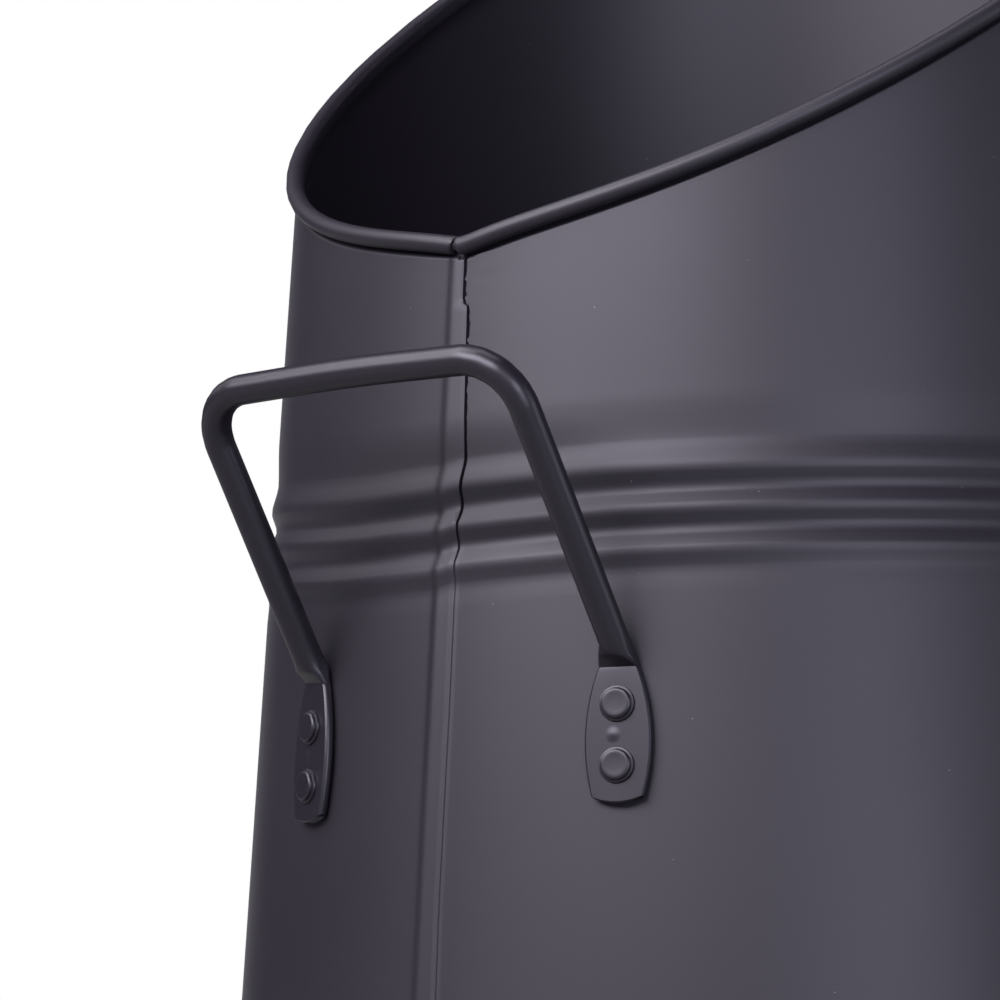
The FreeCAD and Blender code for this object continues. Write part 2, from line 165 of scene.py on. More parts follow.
class HodBail(bpy.types.PropertyGroup):
    """Sizes of the carrying bail and its ears."""

    ear_azimuth: angle("Ear azimuth", "Ears round from the back seam", 98)
    ear_height: length("Ear height", "Height of the ears' middle", 325)
    ear_sheet: length("Ear sheet", "Thickness of the ears", 2)
    ear_width: length("Ear width", "Width of the ears", 20)
    ear_length: length("Ear length", "Length of the ears", 50)
    ear_bridge: length("Ear bridge", "Length of the raised middle", 18)
    ear_slope: length("Ear slope", "Length of each ramp up to the raised middle", 5)
    reach: length("Reach", "Hinge axis to the centre of the bar", 147)
    corner: length("Corner", "Radius of the large bends", 112)
    foot_bend: length("Foot bend", "Radius of the bends beside the ears", 7)
    head_radius: length("Head radius", "Radius of the upset ends", 5.2)
    head_length: length("Head length", "Length of the upset ends", 2.5)
    play: length("Play", "Bail end in its ear, along the hinge", 1)
    pin_clearance: length("Pin clearance", "Bail end in its hole, all round", 0.08)
    rest_gap: length("Rest gap", "Between the hanging bail and the front wall", 0.5)


class HodFinish(bpy.types.PropertyGroup):
    """Colours and texture of the coating."""

    coat: colour("Coat", "Charcoal powder coat", (0.0078, 0.0064, 0.0104))
    coat_pale: colour("Pale coat", "Coat where it lies thin or is rubbed", (0.0145, 0.0125, 0.0175))
    sheen: colour("Sheen", "Tint of the coat's reflections", (0.9, 0.84, 1.0))
    dust: colour("Dust", "Specks that lie on the coat", (0.14, 0.13, 0.14))
    roughness: number("Roughness", "Roughness of the satin coat", 0.48)
    rod_roughness: number("Rod roughness", "Roughness of the coat on rods and rivets", 0.36)
    cloud_size: length("Cloud size", "Size of the faint clouds in the coat", 55)
    grain_size: length("Grain size", "Size of the coat's fine grain", 0.9)
    grain_depth: length("Grain depth", "Depth of the coat's fine grain", 0.02)
    speck_size: length("Speck size", "Distance between places where a speck may lie", 5)


class HodStage(bpy.types.PropertyGroup):
    """Camera, lamps, floor and background."""

    camera_distance: length("Camera distance", "Camera from the body's axis", 1300)
    camera_azimuth: angle("Camera azimuth", "Camera round from the back, towards -X", 37.0969)
    camera_height: length("Camera height", "Camera above the floor", 62.8)
    camera_yaw: angle("Camera yaw", "Turn of the view away from the axis", 3.0487)
    camera_pitch: angle("Camera pitch", "Upward tilt of the view", 6.6816)
    camera_roll: angle("Camera roll", "Turn of the view about its own line", -0.8219)
    lens: number("Lens", "Focal length in millimetres on a 36 mm sensor", 191.7)
    lamp_distance: length("Lamp distance", "Lamps from the hod", 1300)
    key_width: length("Key width", "Width of the main softbox", 1200)
    softbox: length("Softbox", "Height of the softboxes", 600)
    floor: colour("Floor", "Pale studio floor", (0.16, 0.16, 0.16))
    floor_glow: number("Floor glow", "Paleness of the floor beside the hod, apart from the lamps", 0.12)
    floor_far_glow: number("Far floor glow", "Paleness of the floor where the lamps no longer reach", 0.4)
    floor_near: length("Near floor", "Distance from the hod up to which the floor is lit by the lamps", 700)
    floor_far: length("Far floor", "Distance from the hod from which the lamps no longer reach", 2600)
    floor_radius: length("Floor radius", "Radius of the floor", 15000)
    cool: colour("Cool", "Colour of the second and side softboxes", (0.9, 0.96, 1))
    ambient: colour("Ambient", "Light from all round", (0.048, 0.04, 0.075))
    backdrop_top: angle("Backdrop top", "White backdrop reaches this far above the level", 14)
    backdrop_spread: angle("Backdrop spread", "White backdrop reaches this far to each side of the view", 20)


LAMPS = [  # name, label, degrees round from the back towards -X, degrees above the level, watts
    ("key", "Main softbox", 0, 30, 25.5),
    ("left", "Left softbox", -37, 30, 6),
    ("high", "High softbox", -52, 56, 7),
    ("rear", "Rear softbox", -80, 30, 0.8),
    ("fill", "Second softbox", 58, 5, 7.5),
    ("side", "Side softbox", 110, 5, 2.5),
    ("top", "Overhead softbox", 0, 84, 3),
    ("front", "Front softbox", 160, 25, 8),
]
for lamp, label, azimuth, elevation, power in LAMPS:
    HodStage.__annotations__.update({
        f"{lamp}_azimuth": angle(f"{label} azimuth", f"{label} round from the back, towards -X", azimuth),
        f"{lamp}_elevation": angle(f"{label} elevation", f"{label} above the level", elevation),
        f"{lamp}_power": number(f"{label} power", f"{label} in watts", power)})


# Building blocks

def begin():
    """Leaves nothing selected, in object mode."""
    if bpy.context.object and bpy.context.object.mode != "OBJECT":
        bpy.ops.object.mode_set(mode="OBJECT")
    bpy.ops.object.select_all(action="DESELECT")


def activate(piece):
    begin()
    piece.select_set(True)
    bpy.context.view_layer.objects.active = piece


def named(name):
    piece = bpy.context.object
    piece.name = name
    piece.data.name = name
    return piece


def in_edit_mode(piece, *steps):
    """Runs edit-mode operators on the whole piece."""
    activate(piece)
    bpy.ops.object.mode_set(mode="EDIT")
    bpy.ops.mesh.select_all(action="SELECT")
    for step in steps:
        step()
    bpy.ops.object.mode_set(mode="OBJECT")


def merge_doubles():
    bpy.ops.mesh.remove_doubles(threshold=MM / 1000)


def face_outwards():
    bpy.ops.mesh.normals_make_consistent(inside=False)


def apply_modifier(piece, kind, **settings):
    activate(piece)
    modifier = piece.modifiers.new(kind.title(), kind)
    for key, value in settings.items():
        setattr(modifier, key, value)
    bpy.ops.object.modifier_apply(modifier=modifier.name)


def smooth(piece, sharp_degrees=40):
    activate(piece)
    bpy.ops.object.shade_smooth_by_angle(angle=math.radians(sharp_degrees))


def joined(name, pieces):
    activate(pieces[0])
    for piece in pieces:
        piece.select_set(True)
    bpy.ops.object.join()
    return named(name)


def ring_step(vertices, sides):
    """Index round a ring of equally spaced points for each vertex, by its angle about Z."""
    turn = 2 * math.pi / sides
    start = math.atan2(vertices[0].co.y, vertices[0].co.x)
    return [round((math.atan2(v.co.y, v.co.x) - start) / turn) % sides for v in vertices]


def tube_piece(name, sides, runs, place, ends="NGON"):
    """Tube cut into runs along its length, whose points are then set by place(side, run)."""
    begin()
    bpy.ops.mesh.primitive_cylinder_add(
        vertices=sides, radius=1, depth=1, location=(0, 0, 0.5), end_fill_type=ends)
    piece = named(name)
    bpy.ops.object.transform_apply(location=True)
    bpy.ops.object.mode_set(mode="EDIT")
    bpy.ops.mesh.select_all(action="DESELECT")
    bpy.ops.mesh.select_mode(type="EDGE")
    bpy.ops.object.mode_set(mode="OBJECT")
    points = piece.data.vertices
    for edge in piece.data.edges:
        low, high = (points[i].co.z for i in edge.vertices)
        edge.select = abs(high - low) > 0.5
    bpy.ops.object.mode_set(mode="EDIT")
    bpy.ops.mesh.subdivide(number_cuts=runs - 1)
    bpy.ops.mesh.select_mode(type="VERT")
    bpy.ops.object.mode_set(mode="OBJECT")
    points = piece.data.vertices
    steps = [(side, round(v.co.z * runs)) for v, side in zip(points, ring_step(points, sides))]
    for vertex, (side, run) in zip(points, steps):
        vertex.co = place(side, run)
    return piece


def spun_piece(name, outline, steps):
    """Solid of revolution about Z of an outline of (radius, height) points that ends on the axis."""
    begin()
    bpy.ops.mesh.primitive_plane_add(size=MM, location=(outline[0][0], 0, outline[0][1]))
    piece = named(name)
    bpy.ops.object.transform_apply(location=True)
    bpy.ops.object.mode_set(mode="EDIT")
    bpy.ops.mesh.select_all(action="SELECT")
    bpy.ops.mesh.merge(type="CENTER")
    for before, after in zip(outline, outline[1:]):
        move = (after[0] - before[0], 0, after[1] - before[1])
        bpy.ops.mesh.extrude_region_move(TRANSFORM_OT_translate={"value": move})
    bpy.ops.mesh.select_all(action="SELECT")
    bpy.ops.mesh.spin(steps=steps, angle=2 * math.pi, center=(0, 0, 0), axis=(0, 0, 1))
    bpy.ops.mesh.select_all(action="SELECT")
    merge_doubles()
    face_outwards()
    bpy.ops.object.mode_set(mode="OBJECT")
    return piece


def dress(piece, body, slot, material, *nodes):
    """Hands a finished piece to its body in place of its construction nodes."""
    piece.data.materials.clear()
    piece.data.materials.append(material)
    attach(piece, body)
    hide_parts(*nodes)


def blend_step(value):
    """Smooth step from 0 to 1."""
    value = max(0.0, min(1.0, value))
    return value * value * (3 - 2 * value)


def between(low, high, share):
    return low + (high - low) * share


# Shader trees

class Signal:
    """Output of a shader node that takes part in sums like a number."""

    def __init__(self, tree, socket):
        self.tree = tree
        self.socket = socket

    def node(self, kind, settings=None, values=None, output=0):
        return add_node(self.tree, kind, settings, values, output)

    def beside(self, output):
        """Another output of the same node."""
        return Signal(self.tree, self.socket.node.outputs[output])

    def math(self, operation, *values):
        return add_node(self.tree, "ShaderNodeMath", {"operation": operation}, dict(enumerate(values)))

    def __add__(self, other):
        return self.math("ADD", self, other)

    def __sub__(self, other):
        return self.math("SUBTRACT", self, other)

    def __mul__(self, other):
        return self.math("MULTIPLY", self, other)

    def __rsub__(self, other):
        return self.math("SUBTRACT", other, self)

    def __gt__(self, other):
        return self.math("GREATER_THAN", self, other)

    def __lt__(self, other):
        return self.math("LESS_THAN", self, other)

    __radd__ = __add__
    __rmul__ = __mul__


def add_node(tree, kind, settings=None, values=None, output=0):
    """Adds a node, sets its settings, then gives its sockets their values or links."""
    node = tree.nodes.new(kind)
    for key, value in (settings or {}).items():
        setattr(node, key, value)
    for key, value in (values or {}).items():
        if isinstance(value, Signal):
            tree.links.new(value.socket, node.inputs[key])
        else:
            node.inputs[key].default_value = value
    return Signal(tree, node.outputs[output])


# Shape of the wall

DIP_BLUNTNESS = 0.1  # rounded bottom of the rim's dip, as a share of its spread
CLIMB_START, CLIMB_SPAN = 9, 45  # degrees from the seam towards +X over which the ribs climb
FALL_START, FALL_SPAN = 75, 75  # degrees over which they come down again
SAG_SPAN = 22  # degrees from the seam towards -X over which the other sag fades
SAG_STEP = 2.4  # degrees of the step from one sag to the other, at the seam
CUT_EDGE = [  # height of the lap's cut edge and its distance from the back line, in millimetres
    (0, 1), (110, 1), (158, 2), (195, 2.35), (213, 3.5), (249, 3)]
SHARP_COLUMNS = [  # from the cut edge: widths of the joint beyond it, then millimetres of the lap
    -5.2, -3.4, -2.3, -1.7, -1.3, -1, -0.75, -0.5, -0.25, -0.06, 0, 0.12, 0.35, 0.6, 0.85, 1.1, 1.4]
SOFT_COLUMNS = [-2, -1.4, -0.9, -0.5, -0.15, 0.15, 0.5, 0.9, 1.4, 2.2]  # mm from the rounded edge
SOFT_REACH = 1.6 * MM  # half the width of the rounded edge
SEAM_SIDE = 11 * MM  # the wall is plain from here on
JAG_LENGTH = 1.2 * MM  # size of the bumps along the open joint
OPEN_CORNER, OPEN_ROUND_OFF = 0.6 * MM, 0.2 * MM  # soft corner of the cut edge where the joint is open
FILLED_CORNER, FILLED_ROUND_OFF = 1.1 * MM, 0.15 * MM  # the same where the coat fills the joint
JOINT_SIDE = 0.45  # far side of the open joint, in widths of the joint
LIP_TOP, LIP_FALL = 1.1, 1.5  # top of the ridge beyond the joint and the way down from it, in the same widths
DIP_PLACE, DIP_REACH = 3.4, 1.6  # middle and half width of the shallow beyond it, in the same widths
PLAIN_COLUMNS = 178
LOW_ROWS, BAND_ROWS, HIGH_ROWS = 22, 60, 56
RIM_ROWS = [5, 3.8, 3.4, 3.1, 2.8, 2.5, 2.2, 1.5, 0]  # mm below the middle of the roll
CREASE_FOOT, CREASE_HEAD = 3.4 * MM, 2.4 * MM  # the crease under the roll, below the middle of the roll
INSIDE_FOOT, INSIDE_HEAD = 5 * MM, 1.8 * MM  # the same bend on the inside, which is wider
WAVE_LENGTH = 70 * MM  # size of the sheet's uneven places
FOOT_SEAT = 0.05 * MM  # the wall stands this far over the pan
RIM_STATIONS, RIM_SIDES = 240, 20
RIM_CROWDING = 0.92  # how much closer together the stations lie beside the split
RIM_STEP = 0.002  # radians between the points that give the rim's direction
RIM_TUCK, TUCK_STATIONS = 0.1, 2  # the ends of the roll narrow by this share over these stations
FLARE_STATIONS = 8  # stations over which the ends of the roll are cut aslant


def outward(azimuth):
    """Level direction out of the body. Azimuth 0 is the back."""
    return Vector((math.sin(azimuth), math.cos(azimuth), 0))


def wall_radius(wall, height):
    return wall.base_radius - wall.taper * height


def wall_normal(wall, azimuth):
    lean = math.atan(wall.taper)
    return outward(azimuth) * math.cos(lean) + UP * math.sin(lean)


def wall_point(wall, azimuth, height, relief=0.0):
    return outward(azimuth) * wall_radius(wall, height) + UP * height + wall_normal(wall, azimuth) * relief


def wall_matrix(wall, azimuth, height):
    """Frame on the wall's outside: X round the wall, Y up the wall, Z straight out."""
    normal = wall_normal(wall, azimuth)
    round_wall = Vector((-math.cos(azimuth), math.sin(azimuth), 0))
    upward = normal.cross(round_wall)
    matrix = Matrix((round_wall, upward, normal)).transposed().to_4x4()
    matrix.translation = wall_point(wall, azimuth, height)
    return matrix


def rim_height(wall, azimuth):
    """Height of the roll's centre: the slanted mouth plane, with the dip above the seam."""
    slope = math.tan(wall.mouth_tilt) * math.cos(azimuth)
    plane = (wall.mouth_height - slope * (wall.base_radius + wall.roll_out)) / (1 - slope * wall.taper)
    aside = (azimuth - wall.dip_middle + math.pi) % (2 * math.pi) - math.pi
    blunt = math.hypot(aside, wall.dip_spread * DIP_BLUNTNESS)
    return plane - wall.dip_depth * math.exp(-blunt / wall.dip_spread)


def rim_point(wall, azimuth):
    height = rim_height(wall, azimuth)
    return outward(azimuth) * (wall_radius(wall, height) + wall.roll_out) + UP * height


def rib_steps(wall):
    """Height and relief of each crest and valley, with the ends of the ribbed band, from low to high."""
    half = wall.rib_pitch / 2
    lowest = wall.rib_top - wall.rib_pitch * (wall.rib_count - 1) - half
    waves = [
        (lowest + step * half, wall.rib_rise if step % 2 else -wall.rib_drop)
        for step in range(1, 2 * wall.rib_count)]
    head = wall.rib_top + wall.rib_head
    return [
        (lowest - wall.rib_foot_runout, 0), (lowest, -wall.rib_foot_drop), *waves,
        (head, -wall.rib_head_drop), (head + wall.rib_head_runout, 0)]


def rib_shift(wall, azimuth):
    """Height by which the ribs leave their level: they sag towards the seam and climb towards the +X side."""
    degrees = math.degrees((azimuth + math.pi) % (2 * math.pi) - math.pi)
    climb = wall.rib_climb * blend_step((degrees - CLIMB_START) / CLIMB_SPAN)
    fade = 1 - blend_step((degrees - FALL_START) / FALL_SPAN)
    other = -wall.rib_sag_other * blend_step(1 + degrees / SAG_SPAN)
    return between(other, (climb - wall.rib_sag) * fade, blend_step(0.5 + degrees / SAG_STEP))


def rib_relief(wall, steps, height):
    """Relief of the ribbed band: straight flanks between narrow rounded crests and valleys."""
    for (low, low_relief), (high, high_relief) in zip(steps, steps[1:]):
        if low <= height <= high:
            share = (height - low) / (high - low)
            wave = (1 - math.cos(math.pi * share)) / 2
            return between(low_relief, high_relief, between(share, wave, wall.rib_softness))
    return 0.0


def cut_edge(height):
    """Distance of the lap's cut edge from the back line, towards -X."""
    for (low, near), (high, far) in zip(CUT_EDGE, CUT_EDGE[1:]):
        if height < high * MM:
            return between(near, far, (height / MM - low) / (high - low)) * MM
    return CUT_EDGE[-1][1] * MM


def seam_edges(wall, height):
    """Distances of the lap's cut edge and rounded edge from the back line, towards +X."""
    top = rim_height(wall, 0)
    soft = wall.seam_soft_top + wall.seam_soft_spread * (top - height)
    step = blend_step((height - wall.seam_notch) / MM + 0.5)
    return -between(cut_edge(height), wall.seam_notch_edge, step), soft


def joint_closing(wall, height):
    """From 0, where the joint beside the cut edge is open, to 1, where the coat fills it, below the ribs."""
    return blend_step((wall.rib_top - height) / (wall.rib_count * wall.rib_pitch))


def joint_jag(wall, height):
    """Share of its width that the joint gains or loses at a height."""
    rough = blend_step((height - wall.rib_top) / wall.rib_pitch)
    return 1 + rough * wall.seam_jag * noise.noise(UP * (height / JAG_LENGTH))


def wall_column(wall, column, height):
    """Azimuth and seam relief of one line of points up the wall, at a height."""
    radius = wall_radius(wall, height)
    sharp, soft = seam_edges(wall, height)
    closed = joint_closing(wall, height)
    if column == 0:
        return -SEAM_SIDE / radius, 0.0
    column -= 1
    if column < len(SHARP_COLUMNS):
        place = SHARP_COLUMNS[column]
        if place < 0:
            gap = between(wall.seam_gap, wall.seam_gap_low, closed) * joint_jag(wall, height)
            return (sharp + place * gap) / radius, joint_relief(wall, -place, closed)
        offset = place * MM
        return (sharp + offset) / radius, lap_relief(wall, offset / (soft - sharp), offset, closed)
    column -= len(SHARP_COLUMNS)
    if column < len(SOFT_COLUMNS):
        offset = SOFT_COLUMNS[column] * MM
        inside = soft + offset - sharp
        across = min(1, inside / (soft - sharp))
        step_down = blend_step((SOFT_REACH - offset) / (2 * SOFT_REACH))
        return (soft + offset) / radius, lap_relief(wall, across, inside, closed) * step_down
    column -= len(SOFT_COLUMNS)
    first = SEAM_SIDE / radius
    return first + (2 * math.pi - 2 * first) * column / PLAIN_COLUMNS, 0.0


def lap_relief(wall, across, inside, closed):
    """Relief of the lap, which slopes from its rounded edge to its cut edge and is soft on that corner."""
    corner = between(OPEN_CORNER, FILLED_CORNER, closed)
    round_off = between(OPEN_ROUND_OFF, FILLED_ROUND_OFF, closed)
    edge_rise = between(wall.seam_edge_rise, wall.seam_edge_rise_low, closed)
    ridge = closed * wall.seam_ridge * blend_step(1 - abs(inside / corner - 1))
    return between(edge_rise, wall.seam_rise, across) + ridge - round_off * blend_step(1 - inside / corner)


def joint_relief(wall, places, closed):
    """Relief of the joint and the sheet beyond it, in widths of the joint from the cut edge."""
    gaping = -wall.seam_groove * blend_step((1 - places) / JOINT_SIDE)
    filled = between(-wall.seam_groove_low, wall.seam_lip, blend_step(places / LIP_TOP))
    if places > LIP_TOP:
        filled = wall.seam_lip * blend_step(1 - (places - LIP_TOP) / LIP_FALL)
        filled -= wall.seam_dip * blend_step(1 - abs(places - DIP_PLACE) / DIP_REACH)
    return between(gaping, filled, closed)


def wall_row(wall, steps, row, azimuth):
    """Height of one ring of points, which the rim lifts above the ribs."""
    foot = wall.sheet * (1 + math.sin(math.atan(wall.taper))) + FOOT_SEAT
    shift = rib_shift(wall, azimuth)
    low, high = steps[0][0] + shift, steps[-1][0] + shift
    if row <= LOW_ROWS:
        return between(foot, low, row / LOW_ROWS)
    row -= LOW_ROWS
    if row <= BAND_ROWS:
        return between(low, high, row / BAND_ROWS)
    row -= BAND_ROWS
    rim = rim_height(wall, azimuth)
    if row <= HIGH_ROWS:
        return between(high, rim - RIM_ROWS[0] * MM, row / HIGH_ROWS)
    return rim - RIM_ROWS[row - HIGH_ROWS] * MM


def make_wall(wall):
    """Sheet of the wall, with its inside set straight where it bends in under the roll."""
    columns = 1 + len(SHARP_COLUMNS) + len(SOFT_COLUMNS) + PLAIN_COLUMNS
    steps = rib_steps(wall)
    middle = steps[len(steps) // 2][0]
    inside = []

    def place(column, row):
        near = wall_column(wall, column, middle)[0]
        height = wall_row(wall, steps, row, near)
        azimuth, relief = wall_column(wall, column, height)
        spot = wall_point(wall, azimuth, height)
        uneven = wall.waviness * noise.noise(spot / WAVE_LENGTH)
        relief += uneven + rib_relief(wall, steps, height - rib_shift(wall, near))
        below_roll = rim_height(wall, near) - height
        crease = wall.rim_recess * blend_step((CREASE_FOOT - below_roll) / (CREASE_FOOT - CREASE_HEAD))
        bend = wall.rim_recess * blend_step((INSIDE_FOOT - below_roll) / (INSIDE_FOOT - INSIDE_HEAD))
        inside.append(wall_point(wall, azimuth, height, relief - bend - wall.sheet) if bend else None)
        return wall_point(wall, azimuth, height, relief - crease)

    rows = LOW_ROWS + BAND_ROWS + HIGH_ROWS + len(RIM_ROWS) - 1
    piece = tube_piece("wall", columns, rows, place, ends="NOTHING")
    in_edit_mode(piece, face_outwards)
    apply_modifier(piece, "SOLIDIFY", thickness=wall.sheet, offset=-1)
    for vertex, spot in zip(piece.data.vertices[len(inside):], inside):
        vertex.co = spot or vertex.co
    return piece


def rim_station(share):
    """Azimuth of a share of the way round, from one end of the roll to the other."""
    azimuth = 2 * math.pi * share
    return azimuth - RIM_CROWDING * math.sin(azimuth)


def make_rim(wall, name, radius, gap, flare):
    """Bar along the rim, open above the seam by a gap that widens downwards."""
    half_gap = gap / 2 / wall_radius(wall, rim_height(wall, 0))

    def place(side, run):
        share = run / RIM_STATIONS
        turn = 2 * math.pi * side / RIM_SIDES
        end = min(run, RIM_STATIONS - run)
        low = (1 - math.sin(turn)) / 2
        slant = math.copysign(flare, 0.5 - share) * low * max(0, 1 - end / FLARE_STATIONS)
        azimuth = half_gap + rim_station(share) * (1 - half_gap / math.pi) + slant / wall.base_radius
        spot = rim_point(wall, azimuth)
        along = (rim_point(wall, azimuth + RIM_STEP) - rim_point(wall, azimuth - RIM_STEP)).normalized()
        out = (outward(azimuth) - along * outward(azimuth).dot(along)).normalized()
        size = radius * (1 - RIM_TUCK * blend_step(1 - end / TUCK_STATIONS))
        return spot + (out * math.cos(turn) + along.cross(out) * math.sin(turn)) * size

    piece = tube_piece(name, RIM_SIDES, RIM_STATIONS, place)
    in_edit_mode(piece, face_outwards)
    return piece


# Rods

ROD_SIDES, DRILL_SIDES = 32, 48
FLAT_SPREAD = 2.2  # how far the points of a flattened rod's round sides spread over its flat sides
BEND_STEPS, BEND_STEP = 16, 2.5 * MM  # least steps of a bend, and the length of each in a wide bend


def bent_line(corners, bends):
    """Points along straight runs joined by round bends, close enough for a smooth rod."""
    line = [corners[0]]
    for before, corner, after, bend in zip(corners, corners[1:], corners[2:], bends):
        into, out = (corner - before).normalized(), (after - corner).normalized()
        turn = into.angle(out)
        trim = bend * math.tan(turn / 2)
        centre = corner + (out - into).normalized() * (bend / math.cos(turn / 2))
        arm = corner - into * trim - centre
        steps = max(BEND_STEPS, round(turn * bend / BEND_STEP))
        for step in range(steps + 1):
            part = turn * step / steps
            line.append(centre + arm * math.cos(part) + into * (bend * math.sin(part)))
    line.append(corners[-1])
    return line


def spread(line, gap):
    """The same line with long runs cut into shorter ones."""
    points = [line[0]]
    for before, after in zip(line, line[1:]):
        cuts = max(1, round((after - before).length / gap))
        points += [before.lerp(after, cut / cuts) for cut in range(1, cuts + 1)]
    return points


def rounded_section(side, half_width, half_depth, corner):
    """Point of a bar's outline with four round corners, which are the whole outline of a round rod."""
    turn = 2 * math.pi * (side + 0.5) / ROD_SIDES
    cosine, sine = math.cos(turn), math.sin(turn)
    flat = max(-1, min(1, FLAT_SPREAD * cosine))
    x = (half_width - corner) * flat + corner * cosine
    return x, math.copysign(half_depth - corner, sine) + corner * sine


def rod_piece(name, stations):
    """Bar through stations of (centre, along, facing, half width, half depth, corner, crown)."""
    def place(side, run):
        centre, along, facing, half_width, half_depth, corner, crown = stations[run]
        x, y = rounded_section(side, half_width, half_depth, corner)
        return centre + facing.cross(along) * x + facing * y + along * (crown * (1 - (x / half_width) ** 2))

    piece = tube_piece(name, ROD_SIDES, len(stations) - 1, place)
    in_edit_mode(piece, face_outwards)
    return piece


def rod_stations(line, facing, radius):
    """Stations of a round rod whose line lies in the plane square to facing."""
    around = zip([line[0]] + line, line, line[1:] + [line[-1]])
    return [
        (spot, (after - before).normalized(), facing, radius, radius, radius, 0)
        for before, spot, after in around]


def drill(piece, matrix, radius, depth):
    """Bores a round hole along the matrix's Z, as deep to each side of its origin."""
    begin()
    bpy.ops.mesh.primitive_cylinder_add(vertices=DRILL_SIDES, radius=radius, depth=2 * depth)
    bit = named("bit")
    bit.data.transform(matrix)
    apply_modifier(piece, "BOOLEAN", object=bit, operation="DIFFERENCE", solver="EXACT")
    bpy.data.objects.remove(bit)


# Rear handle

FOOT_RUNS, NECK_RUNS, CROWN_RUNS = 24, 7, 4  # steps along the flattened ends, the necks and the round tips
FOOT_CORNER = 1.1 * MM  # rounding along the flattened ends
FOOT_EDGE = 0.35 * MM  # rounding of their tips
LEG_STEP = 4 * MM  # steps along the round rod
HANDLE_SHARP = 25  # degrees from which an edge of the handle stays sharp
WELD_RADIUS, WELD_RISE, WELD_ASIDE = 2 * MM, 0.17 * MM, 0.9 * MM
WELD_RINGS, WELD_SIDES = 8, 24
RIVET_SIDES, RIVET_ROUND = 48, 6  # steps round a rivet and over the shoulder of its head
RIVET_SOFT = 0.4 * MM  # rounding of the tail
RIVET_FLANGE = 0.3  # thickness of the head's flange, as a share of the head's height
RIVET_LEDGE, RIVET_DRUM, RIVET_FACE = 0.97, 0.86, 0.68  # radii up the head, as shares of its own
DRUM_FOOT, DRUM_SHOULDER = 1.3, 2  # heights on the drum, in thicknesses of the flange
RIVET_DISH = [  # radii on the head's face, as shares of it, and how deep they lie
    (0.75, RIVET_SOFT / 8), (0.4, RIVET_SOFT / 6), (0, RIVET_SOFT / 6)]


def arc_height(points, x):
    """Height at x of the arc through three points."""
    (x1, y1), (x2, y2), (x3, y3) = points
    squares = [px * px + py * py for px, py in points]
    scale = 2 * (x1 * (y2 - y3) + x2 * (y3 - y1) + x3 * (y1 - y2))
    centre_x = (squares[0] * (y2 - y3) + squares[1] * (y3 - y1) + squares[2] * (y1 - y2)) / scale
    centre_y = (squares[0] * (x3 - x2) + squares[1] * (x1 - x3) + squares[2] * (x2 - x1)) / scale
    radius = math.hypot(x1 - centre_x, y1 - centre_y)
    return centre_y + math.sqrt(max(0, radius ** 2 - (x - centre_x) ** 2))


def handle_feet(wall, handle):
    """Frames at the tops of the two flattened ends, on the wall's outside, the one at +X first."""
    out = wall_radius(wall, handle.foot_height) + handle.seat + handle.foot_thickness / 2
    asides = [handle.width / 2 - handle.foot_inset, -handle.width / 2]
    return [wall_matrix(wall, math.asin(aside / out), handle.foot_height) for aside in asides]


def rivet_matrices(wall, handle):
    """Frames on the wall's outside at the four rivets."""
    drops = [handle.rivet_drop, handle.rivet_drop + handle.rivet_pitch]
    return [foot @ Matrix.Translation((0, -drop, 0)) for foot in handle_feet(wall, handle) for drop in drops]


def crease_drop(handle, foot):
    """Distance of a flattened end's crease below its frame."""
    return handle.crease_drop if foot.translation.x < 0 else 0.0


def foot_axes(handle, foot):
    """Middle of a flattened end's crease, the direction up the end, and the direction it faces."""
    up, facing = foot.col[1].to_3d(), foot.col[2].to_3d()
    middle = foot.translation + facing * (handle.seat + handle.foot_thickness / 2)
    return middle - up * crease_drop(handle, foot), up, facing


def foot_stations(handle, foot):
    """Stations up a flattened end, from its tip to just below the crease."""
    top, up, facing = foot_axes(handle, foot)
    low = crease_drop(handle, foot)
    drops = [0, handle.rivet_drop + handle.rivet_pitch / 2 - low, handle.foot_length - low]
    widths = [handle.foot_top_width, handle.foot_width, handle.foot_end_width]
    outline = [(drop, width / 2) for drop, width in zip(drops, widths)]
    tip, half_tip = outline[2]
    half_depth = handle.foot_thickness / 2
    sizes = [size - FOOT_EDGE for size in (half_tip, half_depth, FOOT_CORNER)]
    stations = [(top - up * tip, up, facing, *sizes, -handle.foot_crown)]
    for run in range(FOOT_RUNS, 0, -1):
        drop = (tip - FOOT_EDGE) * run / FOOT_RUNS
        crown = -handle.foot_crown * blend_step((run - FOOT_RUNS) / CROWN_RUNS + 1)
        half_width = arc_height(outline, drop)
        stations.append((top - up * drop, up, facing, half_width, half_depth, FOOT_CORNER, crown))
    return stations


def neck_line(handle, foot, bar_end):
    """Direction up a neck: straight to the bar at +X, bent out of the flattened end at -X."""
    top, up, facing = foot_axes(handle, foot)
    if foot.translation.x > 0:
        return (bar_end - top).normalized()
    return up * math.cos(handle.neck_lean) + facing * math.sin(handle.neck_lean)


def neck_stations(handle, foot, along, leg_facing):
    """Stations from the crease at the top of a flattened end to the round rod."""
    top, up, facing = foot_axes(handle, foot)
    flat, half_crease = handle.foot_thickness / 2, handle.foot_top_width / 2
    stations = []
    for run in range(NECK_RUNS):
        share = run / NECK_RUNS
        swell = blend_step(share)
        half_depth = between(flat, handle.rod_radius, swell)
        half_width = between(half_crease, handle.rod_radius, swell)
        corner = between(FOOT_CORNER, handle.rod_radius, share * swell)
        line = along if run else (up + along).normalized()
        turned = facing.lerp(leg_facing, share)
        turned = (turned - line * turned.dot(line)).normalized()
        spot = top + along * (handle.neck * share)
        stations.append((spot, line, turned, half_width, half_depth, corner, 0))
    return stations


